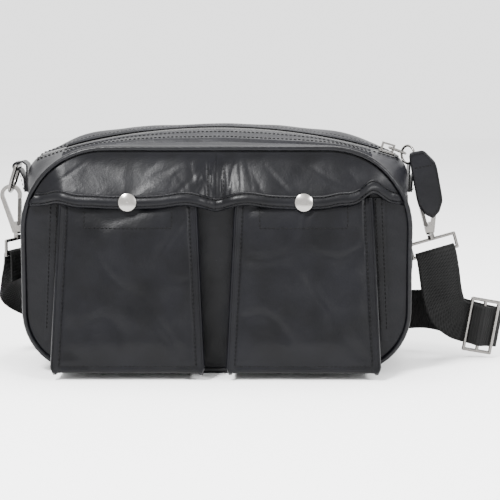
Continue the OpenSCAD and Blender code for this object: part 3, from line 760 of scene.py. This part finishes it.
def make_shoulders():
    ys = [-SIDE_Y + (SIDE_Y - ZIP_EDGE_Y) * k / 14 for k in range(15)]
    near, middle, far = 14, 16, 18  # columns at the slot's near edge, its middle and its far edge
    ys = ys + [-5, 0, 5] + [-y for y in reversed(ys)]
    slot_x = 132  # where the slot for the zip ends
    for side, name in ((-1, "left"), (1, "right")):
        rows = gusset_rows(side * 1.0001, side * 1.9999, 44, ys)
        skin = sheet_grid(name + "_shoulder_skin", rows,
                          keep=lambda i, j: not (near <= j < far and abs(rows[i][middle][0]) < slot_x),
                          thickness=1.4, flip=side > 0)
        piece(skin, "zip_strip", "root", name + "_shoulder")
        runs = []
        for y in (-SIDE_Y + STITCH_IN, SIDE_Y - STITCH_IN, -ZIP_EDGE_Y - STITCH_IN, ZIP_EDGE_Y + STITCH_IN):
            last = 1.97 if abs(y) > 20 else 1.45
            runs.append(outward_run(band_point, [(side * q, y) for q in steps(1.02, last, 30)]))
        stitches(name + "_shoulder_stitches", runs, "root")


# ---- zip ----


TOP_SEAM_Y = 27


def strip_point(q, y):
    """The mouth's strip: the band with a folded lip beside the zip."""
    sign = 1 if y > 0 else -1
    from_zip = abs(y) - ZIP_EDGE_Y
    lip = 0.9 * smooth(from_zip / 1.2) * smooth((7 - from_zip) / 5)
    dent = -0.45 * bump(from_zip, 4.2, 0.9)
    if y < 0:
        dent += 1.1 * bump(y, 2.8 - TOP_SEAM_Y, 2.0) - 1.8 * bump(y, -TOP_SEAM_Y, 1.2)
    x, yy, z = band_point(q, sign * max(abs(y), ZIP_EDGE_Y))
    return (x, yy, z + lip + dent)


def crown_at(x, drop=0.0):
    return CROWN_Z + math.sqrt((CROWN_R - drop) ** 2 - x * x)


# Share of the mouth's half length that moves as one, from the middle
FREE = 0.54
# Each part of the mouth: its name's ending, and where it starts and stops along the bag
MOUTH_PARTS = (("_left_end", -1.0, -FREE), ("", -FREE, FREE), ("_right_end", FREE, 1.0))
# Distance of each side of the coil from the zip's middle
COIL_Y = 1.55


def follow_mouth(obj, mouth, ending):
    """The middle of the mouth moves as one with the mouth's body; its end pieces are baked in place and given
    no body.
    """
    if not ending:
        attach(obj, mouth)
        return
    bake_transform(obj)


def place_mouth_piece(obj, slot, mouth, ending, node):
    piece(obj, slot, None, node)
    follow_mouth(obj, mouth, ending)


def coil_tube(name, y, first, last):
    """One side of a spiral zip: a bead-like ripple at each tooth."""
    pitch, per = 1.3, 6
    count = int((last - first) / pitch) * per
    points = []
    for i in range(count + 1):
        x = lerp(first, last, i / count)
        points.append((x, y, crown_at(x, 0.9) + rear_rise(y, CROWN_TOP)))
    return tube(name, points, lambda i: 0.78 + 0.34 * (0.5 + 0.5 * math.cos(2 * math.pi * i / per)), 8)


def tape_rows(sign, first, last, count=40):
    rows = []
    for i in range(count + 1):
        x = lerp(first, last, i / count)
        rows.append([(x, sign * y, crown_at(x, d) + rear_rise(sign * y, CROWN_TOP))
                     for y, d in ((9.6, 1.9), (8, 1.7), (6, 1.3), (4.2, 1.1), (3.0, 1.1))])
    return rows


def make_mouth():
    for end, sign, body in (("front", -1, "front_mouth"), ("rear", 1, "rear_mouth")):
        ys = [sign * (ZIP_EDGE_Y + d) for d in (0, 0.4, 0.9, 1.6, 2.6, 3.4, 4.2, 5.2, 6.5, 8)]
        ys += [sign * y for y in steps(18.5, SIDE_Y, 32)]
        for ending, first, last in MOUTH_PARTS:
            qs = [q if abs(q) > 1e-4 else 1e-4 for q in steps(first, last, 60 if ending == "" else 26)]
            rows = [[strip_point(q, y) for y in ys] for q in qs]
            strip = sheet_grid(f"{end}_strip{ending}", rows, thickness=1.3, flip=sign > 0)
            place_mouth_piece(strip, "zip_strip", body, ending, end + "_zip_strip")
            seams = (ZIP_EDGE_Y + 4.2, TOP_SEAM_Y - STITCH_IN) if sign < 0 else (ZIP_EDGE_Y + 4.2,)
            runs = [outward_run(strip_point, [(q, sign * y) for q in qs]) for y in seams]
            sewn = stitches(f"{end}_strip_stitches{ending}", runs, None)
            follow_mouth(sewn, body, ending)
            x0, x1 = first * MOUTH_X, last * MOUTH_X
            tape = sheet_grid(f"{end}_tape{ending}", tape_rows(sign, x0, x1), thickness=0.5, flip=sign < 0)
            place_mouth_piece(tape, "zip_tape", body, ending, end + "_zip_tape")
            coil = coil_tube(f"{end}_coil{ending}", sign * COIL_Y, x0, x1)
            place_mouth_piece(coil, "zip_coil", body, ending, end + "_zip_coil")
    for side, name in ((-1, "left"), (1, "right")):
        first, last = side * (MOUTH_X + 0.5), side * 130
        for sign, which in ((-1, "front"), (1, "rear")):
            tape = sheet_grid(f"{name}_end_tape_{which}", tape_rows(sign, first, last, 10), thickness=0.5)
            piece(tape, "zip_tape", "root", name + "_zip_end")
            lo, hi = sorted((first, last))
            piece(coil_tube(f"{name}_end_coil_{which}", sign * COIL_Y, lo, hi), "zip_coil", "root")
        rows = [[(side * x, y, crown_at(x, 0.3)) for y in (-8, -4, 0, 4, 8)] for x in (129.6, 131, 132.6)]
        stop = sheet_grid(name + "_zip_stop", rows, thickness=1.2)
        piece(stop, "zip_tape", "root")


# ---- lining ----


def make_lining():
    rows = []
    levels = [158, 152, 146, 140, 133, 126, 112, 98, 84, 70, 56, 44, 34, 26, 20, 15, 11, 8.5, 7]
    half_y = 40.4
    for z in levels + [6.6, 6.5]:
        shrink = {6.6: 0.7, 6.5: 0.05}.get(z, 1)
        hx = half_width(max(z, 6.2), 6.2) * shrink
        hy = (half_y - (0 if z > 14 else (14 - z) * 0.4)) * shrink
        loop = []
        for k in range(96):
            a = 2 * math.pi * (k + 0.5) / 96
            ca, sa = math.cos(a), math.sin(a)
            n = 7
            r = (abs(ca) ** n + abs(sa) ** n) ** (-1 / n)
            x, y = hx * ca * r, hy * sa * r
            inward = 1.4 * max(wobble(x, y, z, 30, 21), 0) * (1 if 10 < z < 150 else 0)
            x -= math.copysign(inward, x) * min(abs(x) / hx, 1) ** 4
            y -= math.copysign(inward, y) * min(abs(y) / max(hy, 1), 1) ** 4
            loop.append((x, y, z + rear_rise(y, z)))
        rows.append(loop + loop[:1])
    bag = sheet_grid("lining_bag", rows, thickness=0.5, offset=0)
    piece(bag, "lining", "root", "lining")


# ---- flaps ----


SEAM_X = 5.5
# Height above the hem, and how far the band stands off the flap there: low at its two stitch lines
HEM_PROFILE = ((0.0, 0.15), (0.4, 1.0), (1.1, 1.35), (1.9, 0.6), (2.7, 1.3), (4.7, 1.2), (6.9, 1.35),
               (7.7, 0.6), (8.4, 1.3), (9.0, 1.0), (9.5, 0.05))


def hem_at(x):
    """Height of the flap's hem across the bag: it sags between the snaps and lifts at the ends."""
    side = abs(x)
    hem = HEM_Z + 1.6 - 2.6 * bump(side, 0, 9) + 2.4 * bump(side, 22, 13) - 0.4 * bump(side, SNAP_X, 16)
    hem += (2.2 if x > 0 else 0.6) * smooth((side - 74) / 16)
    return hem + (8.5 if x > 0 else 3.0) * bump(side, 111, 9)


def flap_top(x):
    r = TOP_R - 4.6
    side = abs(x)
    return TOP_C[1] + (r if side < TOP_C[0] else math.sqrt(max(r * r - (side - TOP_C[0]) ** 2, 0)))


def flap_point(x, t):
    """Outer face of the flaps; t runs from the piping at 0 to the hem at 1."""
    top, hem = flap_top(x), hem_at(x)
    z = lerp(top, hem, t)
    drop = (159 - z) / 39
    out = 1.2 + 14.4 * smooth(drop * 1.02) ** 0.9
    side = abs(x)
    hold = 1 - 0.34 * bump(side, 0, 10) - 0.72 * smooth((side - 106) / 21)
    soft = (1.5 * wobble(x, 0, z, 30, 31) + 0.35 * wobble(x, 0, z, 12, 32)) * smooth(drop * 3) * (1 - 0.7 * t)
    gathers = 0.8 * bump(side, 0, 22) * creases(x, 0, z * 0.25, 7, 35)
    along = x * 0.9 + (z - 140) * 0.8 * (1 if x > 0 else -1)
    pulls = gathers + 0.4 * creases(along, 0, z * 0.4, 22, 33)
    away = 45.2 + out * hold + soft - pulls * smooth(drop * 2.5) * smooth((1 - t) * 2.5)
    away -= 0.5 * bump(side, SEAM_X, 1.1) * smooth(drop * 4)
    near_snap = bump(side, SNAP_X, 7) * bump(z, SNAP_Z, 7)
    away -= 0.35 * near_snap
    return (x, -max(away, 46.0), z)


def outward_flap_run(params, lift=0.0):
    points, normals = [], []
    for x, t in params:
        p = np.array(flap_point(x, t))
        du = np.array(flap_point(x + 0.4, t)) - p
        dv = np.array(flap_point(x, min(t + 0.02, 1.02))) - p
        n = np.cross(du, dv)
        n /= np.linalg.norm(n)
        n = -n if n[1] > 0 else n
        points.append(p + n * lift)
        normals.append(n)
    return points, normals


def band_share(x, up):
    """Share t of the flap's height that lies a distance up from its hem."""
    return 1 - up / max(flap_top(x) - hem_at(x), up + 0.5)


def make_flaps():
    for side, name in ((-1, "left"), (1, "right")):
        body = name + "_flap"
        xs = [side * x for x in steps(0.12, FLAP_END_X - 0.5, 120)]
        rows = [[flap_point(x, t) for t in steps(0, 1, 34)] for x in xs]
        skin = sheet_grid(name + "_flap_skin", rows, thickness=1.5, flip=side < 0)
        piece(skin, "leather", None, name + "_flap", "front_yoke")
        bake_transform(skin)
        band_rows = []
        for x in xs:
            row = []
            for up, lift in HEM_PROFILE:
                points, _ = outward_flap_run([(x, band_share(x, up))], lift)
                row.append(tuple(points[0]))
            band_rows.append(row)
        band = sheet_grid(name + "_flap_hem", band_rows, thickness=0.9, flip=side > 0)
        piece(band, "leather", body, name + "_flap_band")
        hems = []
        for up in (1.9, 7.7):
            line = [(x, band_share(x, up)) for x in xs]
            hems.append(outward_flap_run(line, 0.55))
        stitches(name + "_hem_stitches", hems, body)
        seam = outward_flap_run([(side * SEAM_X, t) for t in steps(0.26, 0.98, 30)])
        stitches(name + "_seam_stitches", [seam], body)


# ---- pockets ----


SEAM_IN = 5.4
# Where the pockets' sides meet the front panel
POCKET_ROOT_Y = -45.4
# Points of a pocket's section: along each side, round each seam ridge and across the face
SIDE_COLUMNS, RIDGE_COLUMNS, FACE_COLUMNS = 13, 6, 69


def lattice(u):
    """Spaces columns more closely towards both ends."""
    return math.copysign(1 - (1 - abs(u)) ** 1.5, u)


def pocket_half(z):
    share = (z - POCKET_FOOT) / (POCKET_TOP - POCKET_FOOT)
    return lerp(POCKET_FOOT_W, POCKET_TOP_W, share) / 2


def pocket_front_y(z):
    share = (z - POCKET_FOOT) / (POCKET_TOP - POCKET_FOOT)
    return lerp(POCKET_FOOT_Y, POCKET_TOP_Y, share)


def pocket_section(z, seed):
    """Open loop round a pocket at one height: rear left, left side, face, right side, rear right."""
    half = pocket_half(z) - 1.6 * (1 - smooth((z - POCKET_FOOT) / 5))
    front = pocket_front_y(z)
    up = (z - POCKET_FOOT) / (POCKET_TOP - POCKET_FOOT)
    lower = 3.5
    rounding = lower - math.sqrt(max(lower ** 2 - max(POCKET_FOOT + lower - z, 0) ** 2, 0))
    depth = POCKET_ROOT_Y - front - rounding
    sides = []
    for k in range(SIDE_COLUMNS):
        share = k / (SIDE_COLUMNS - 1)
        pleat = 3.4 * math.sin(math.pi * share) ** 2 * (0.5 + 0.5 * up) * smooth((1 - up) * 9 + 0.25)
        fold = 1.0 * creases(share * 20, z * 0.5, seed * 9, 16, 41 + seed) * math.sin(math.pi * share)
        sides.append((half - 0.9 - pleat - fold, POCKET_ROOT_Y - depth * share))
    ridge = [(half + 0.1, front + rounding + 1.6), (half + 0.8, front + rounding + 0.3),
             (half + 0.1, front + rounding - 1.0), (half - 1.3, front + rounding - 1.1),
             (half - 2.4, front + rounding - 0.2), (half - 3.3, front + rounding + 0.35)]
    face = []
    for k in range(FACE_COLUMNS):
        u = lattice(-1 + 2 * k / (FACE_COLUMNS - 1))
        x = u * (half - 4.2)
        puff = 3.6 * (1 - abs(u) ** 2.6) * smooth((z - POCKET_FOOT - 2) / 22)
        puff *= smooth((POCKET_TOP + 8 - z) / 34)
        from_side = half - abs(x)
        groove = 0.75 * max(bump(from_side, SEAM_IN, 0.9), bump(z, POCKET_FOOT + SEAM_IN, 0.9))
        soft = 1.3 * wobble(x, seed * 50, z, 34, 43) + 0.35 * wobble(x, seed * 50, z, 14, 44)
        pull = 0.9 * creases(x * 0.7, seed * 30, z * 0.7, 30, 45)
        edge = smooth((1 - abs(u)) * 6)
        face.append((x, front + rounding + 0.35 - puff - (soft - pull) * edge + groove))
    loop = [(-x, y) for x, y in sides] + [(-x, y) for x, y in ridge] + face
    return loop + [(x, y) for x, y in reversed(ridge)] + [(x, y) for x, y in reversed(sides)]


def pocket_face_point(x, z, centre, seed):
    """Place on a pocket's face, found from its section."""
    first = SIDE_COLUMNS + RIDGE_COLUMNS
    loop = pocket_section(z, seed)[first:first + FACE_COLUMNS]
    xs, ys = [p[0] for p in loop], [p[1] for p in loop]
    return np.array([x, float(np.interp(x - centre, xs, ys)), z])


def face_run(line, centre, seed, lift=0.0):
    points, normals = [], []
    for x, z in line:
        p = pocket_face_point(x, z, centre, seed)
        n = np.array([0, -0.99, 0.14])
        points.append(p + n * lift)
        normals.append(n)
    return points, normals


def flange_place(side, centre, across, z):
    """Place on the flange that joins a pocket's bellows to the front panel, outside the pocket."""
    x = centre + side * (pocket_half(z) + across)
    limit = half_width(z, 5.2)
    swell = 0.5 + 0.5 * math.sin(math.pi * min(across / 9, 1)) + 0.25 * wobble(x, 0, z, 16, 61)
    return (side * min(abs(x), limit), -45.5 - swell, z)


def make_flanges():
    """A raised flange on each pocket's outer side, with two rows of stitches."""
    for side, name in ((-1, "left"), (1, "right")):
        centre = side * POCKET_X
        heights = steps(24, POCKET_TOP - 1, 50)
        acrosses = [-1.0, 0.5, 2, 3.5, 5, 6.5, 8, 9.2, 9.9]
        rows = [[flange_place(side, centre, a, z) for a in acrosses] for z in heights]
        skin = sheet_grid(name + "_pocket_flange", rows, thickness=0.8, offset=1.0, flip=side < 0)
        piece(skin, "leather", "root")
        runs = []
        for across in (3.2, 7.6):
            line = [np.array(flange_place(side, centre, across, z)) + (0, -0.85, 0) for z in heights[4:]]
            runs.append((line, [(0, -1, 0)] * len(line)))
        stitches(name + "_flange_stitches", runs, "root")


def make_pockets():
    heights = [POCKET_FOOT + d for d in (0, 0.25, 0.7, 1.4, 2.3, 3.5, 5, 7, 10)]
    heights += steps(POCKET_FOOT + 12, POCKET_TOP, 56)
    for side, name in ((-1, "left"), (1, "right")):
        centre, seed = side * POCKET_X, 1 if side > 0 else 2
        rows = [[(x + centre, y, z) for x, y in pocket_section(z, seed)] for z in heights]
        walls = sheet_grid(name + "_pocket_skin", rows, thickness=1.3)
        piece(walls, "leather", "root", name + "_pocket_front", name + "_pocket_gusset",
              name + "_snap_patch")
        corner = SIDE_COLUMNS + 3
        foot_loop = pocket_section(POCKET_FOOT, seed)[corner:-corner]
        base = [[(x + centre, lerp(min(y, POCKET_ROOT_Y), POCKET_ROOT_Y, k / 8), POCKET_FOOT + 0.02)
                 for x, y in foot_loop] for k in range(9)]
        floor_skin = sheet_grid(name + "_pocket_base", base, thickness=1.2, offset=1.0)
        piece(floor_skin, "leather", "root")
        rim = [pocket_face_point(centre + x, POCKET_TOP, centre, seed) + np.array([0, 0.7, 0.5])
               for x in steps(4.8 - POCKET_TOP_W / 2, POCKET_TOP_W / 2 - 4.8, 60)]
        binding = tube(name + "_pocket_rim", rim, 0.95, 10)
        piece(binding, "piping", "root", name + "_pocket_binding")
        inset = SEAM_IN
        top, foot = POCKET_TOP - 3, POCKET_FOOT + inset
        runs = []
        for s in (-1, 1):
            line = [(centre + s * (pocket_half(z) - inset), z) for z in steps(foot, top, 60)]
            runs.append(face_run(line, centre, seed, 0.1))
        reach = pocket_half(foot) - inset
        runs.append(face_run([(centre + x, foot) for x in steps(-reach, reach, 60)], centre, seed, 0.1))
        patch_half, patch_foot = 31, POCKET_TOP - 21
        line = [(centre - patch_half, z) for z in steps(top, patch_foot, 12)]
        line += [(centre + x, patch_foot) for x in steps(-patch_half, patch_half, 40)]
        line += [(centre + patch_half, z) for z in steps(patch_foot, top, 12)]
        runs.append(face_run(line, centre, seed, 0.1))
        stitches(name + "_pocket_stitches", runs, "root")


# ---- pull tab and ring loops ----


def slab(name, outline, place, thickness):
    """A flat leather piece from an outline: rounded edges and a softly domed face. place maps (u, v, w)."""
    path = Path(outline + outline[:1])
    middle = np.mean(np.array(outline), axis=0)
    count = 96
    rows = []
    half = thickness / 2
    rings = [(0.0, half), (0.25, half * 0.99), (0.6, half * 0.95), (0.85, half * 0.93),
             (0.95, half * 0.85), (0.99, half * 0.6), (1.0, 0.0)]
    profile = rings + [(r, -h) for r, h in reversed(rings[:-1])]
    for r, h in profile:
        row = []
        for k in range(count):
            p = path.at(k / count)
            u, v = middle + (p - middle) * max(r, 0.002)
            row.append(place(u, v, h))
        rows.append(row)
    verts = [p for row in rows for p in row]
    faces = grid_faces(len(rows), count, closed=True)
    faces += [tuple(range(count))[::-1], tuple(range(len(verts) - count, len(verts)))]
    return mesh_object(name, verts, faces)


# Where the pull tab's outline has its origin, on its top edge, and its lean and thickness, as in the frame
TAB_AT, TAB_LEAN, TAB_T = (148.7, -9, 158.5), math.radians(11), 3.0


def tab_place(u, v, w):
    x = TAB_AT[0] + u * math.cos(TAB_LEAN) - v * math.sin(TAB_LEAN)
    z = TAB_AT[2] + u * math.sin(TAB_LEAN) + v * math.cos(TAB_LEAN)
    return (x, TAB_AT[1] - w, z)


def inset_outline(outline, d):
    middle = np.mean(np.array(outline), axis=0)
    out = []
    for p in outline:
        v = np.array(p) - middle
        out.append(tuple(middle + v * (1 - d / np.linalg.norm(v))))
    return out


def rounded(outline, cut=0.12):
    """The outline with each corner cut into a soft curve."""
    for _ in range(2):
        out = []
        for i, p in enumerate(outline):
            q = outline[(i + 1) % len(outline)]
            out += [(lerp(p[0], q[0], cut), lerp(p[1], q[1], cut)),
                    (lerp(p[0], q[0], 1 - cut), lerp(p[1], q[1], 1 - cut))]
        outline = out
    return outline


def make_tab():
    body = [(-8, 0), (2, 0), (9.5, -11), (9.5, -39), (5.5, -47), (0, -51), (-5.5, -47), (-9.5, -39),
            (-9.5, -3)]
    tab = slab("pull_tab", rounded(body), tab_place, TAB_T)
    piece(tab, "leather", "pull", "zip_pull_tab")
    line = rounded(inset_outline(body, 2.0))
    points = [tab_place(u, v, TAB_T / 2 - 0.05) for u, v in line + line[:1]]
    cross = [tab_place(u, -12, TAB_T / 2 - 0.05) for u in steps(-7, 7, 8)]
    runs = [(points, [(0, -1, 0)] * len(points)), (cross, [(0, -1, 0)] * len(cross))]
    back = [tab_place(u, v, -TAB_T / 2 + 0.05) for u, v in line + line[:1]]
    runs.append((back, [(0, 1, 0)] * len(back)))
    stitches("pull_tab_stitches", runs, "pull", 2.6)


def make_ring_loops():
    """Each loop is one strip that goes up from its tail, over the ring's straight side and back down."""
    width = 18  # as wide as the frame's loop
    for side, name in ((-1, "left"), (1, "right")):
        outer = [(HALF_W + 1.2, RING_Z - 19), (HALF_W + 1.4, RING_Z - 8), (HALF_W + 1.4, RING_Z + 1),
                 (HALF_W + 4.4, RING_Z + 3.4)]
        round_ring = arc_points((RING_X, RING_Z), 2.6, 110, -110, 14)
        back = [(RING_X - 2.4, RING_Z - 3.0), (RING_X - 5.4, RING_Z - 9), (HALF_W + 2.9, RING_Z - 19)]
        line = Path(outer + round_ring + back)
        rows = []
        for i in range(61):
            x, z = line.at(i / 60)
            row = []
            for k in range(13):
                v = -1 + 2 * k / 12
                narrow = 1 - 0.05 * (1 - abs(2 * i / 60 - 1))
                row.append((side * x, RING_Y + v * width / 2 * narrow, z + 0.25 * wobble(x, v * 9, z, 8, 51)))
            rows.append(row)
        loop = sheet_grid(name + "_loop", rows, thickness=1.2, offset=0, flip=side > 0)
        piece(loop, "leather", "root", name + "_ring_loop")
        runs = []
        for y in (RING_Y - 6.5, RING_Y + 6.5):
            points = [(side * lerp(HALF_W + 3.8, RING_X - 2.6, t), y, lerp(RING_Z - 18, RING_Z - 6, t))
                      for t in steps(0, 1, 8)]
            runs.append((points, [(side * 0.9, 0, -0.3)] * len(points)))
        points = [(side * (HALF_W + 3.8), y, RING_Z - 17.5) for y in steps(RING_Y - 6.5, RING_Y + 6.5, 8)]
        runs.append((points, [(side * 0.95, 0, -0.2)] * len(points)))
        stitches(name + "_loop_stitches", runs, "root", 2.6)


# ---- parts carried over from the frame ----

NODE_LOOKS = {
    "base_board": "board", "zip_slider": "hardware", "zip_pull_link": "hardware",
    "zip_pull_ring": "hardware", "strap_adjuster": "hardware",
}
for hand in ("left", "right"):
    NODE_LOOKS.update({
        hand + "_snap_cap": "snap", hand + "_snap_socket": "hardware", hand + "_snap_stud": "hardware",
        hand + "_d_ring": "strap_metal", hand + "_hook_body": "hardware",
        hand + "_hook_gate": "hook_trigger", hand + "_hook_eye": "strap_metal",
    })


def dress_frame_parts():
    for node, slot in NODE_LOOKS.items():
        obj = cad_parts[node]
        obj.data.materials.clear()
        obj.data.materials.append(LOOKS[slot])


# ---- put it together ----

make_camera()
make_strap()
make_panels()
make_piping()
make_gusset()
make_shoulders()
make_mouth()
make_lining()
make_flaps()
make_pockets()
make_flanges()
make_tab()
make_ring_loops()
dress_frame_parts()
make_studio()
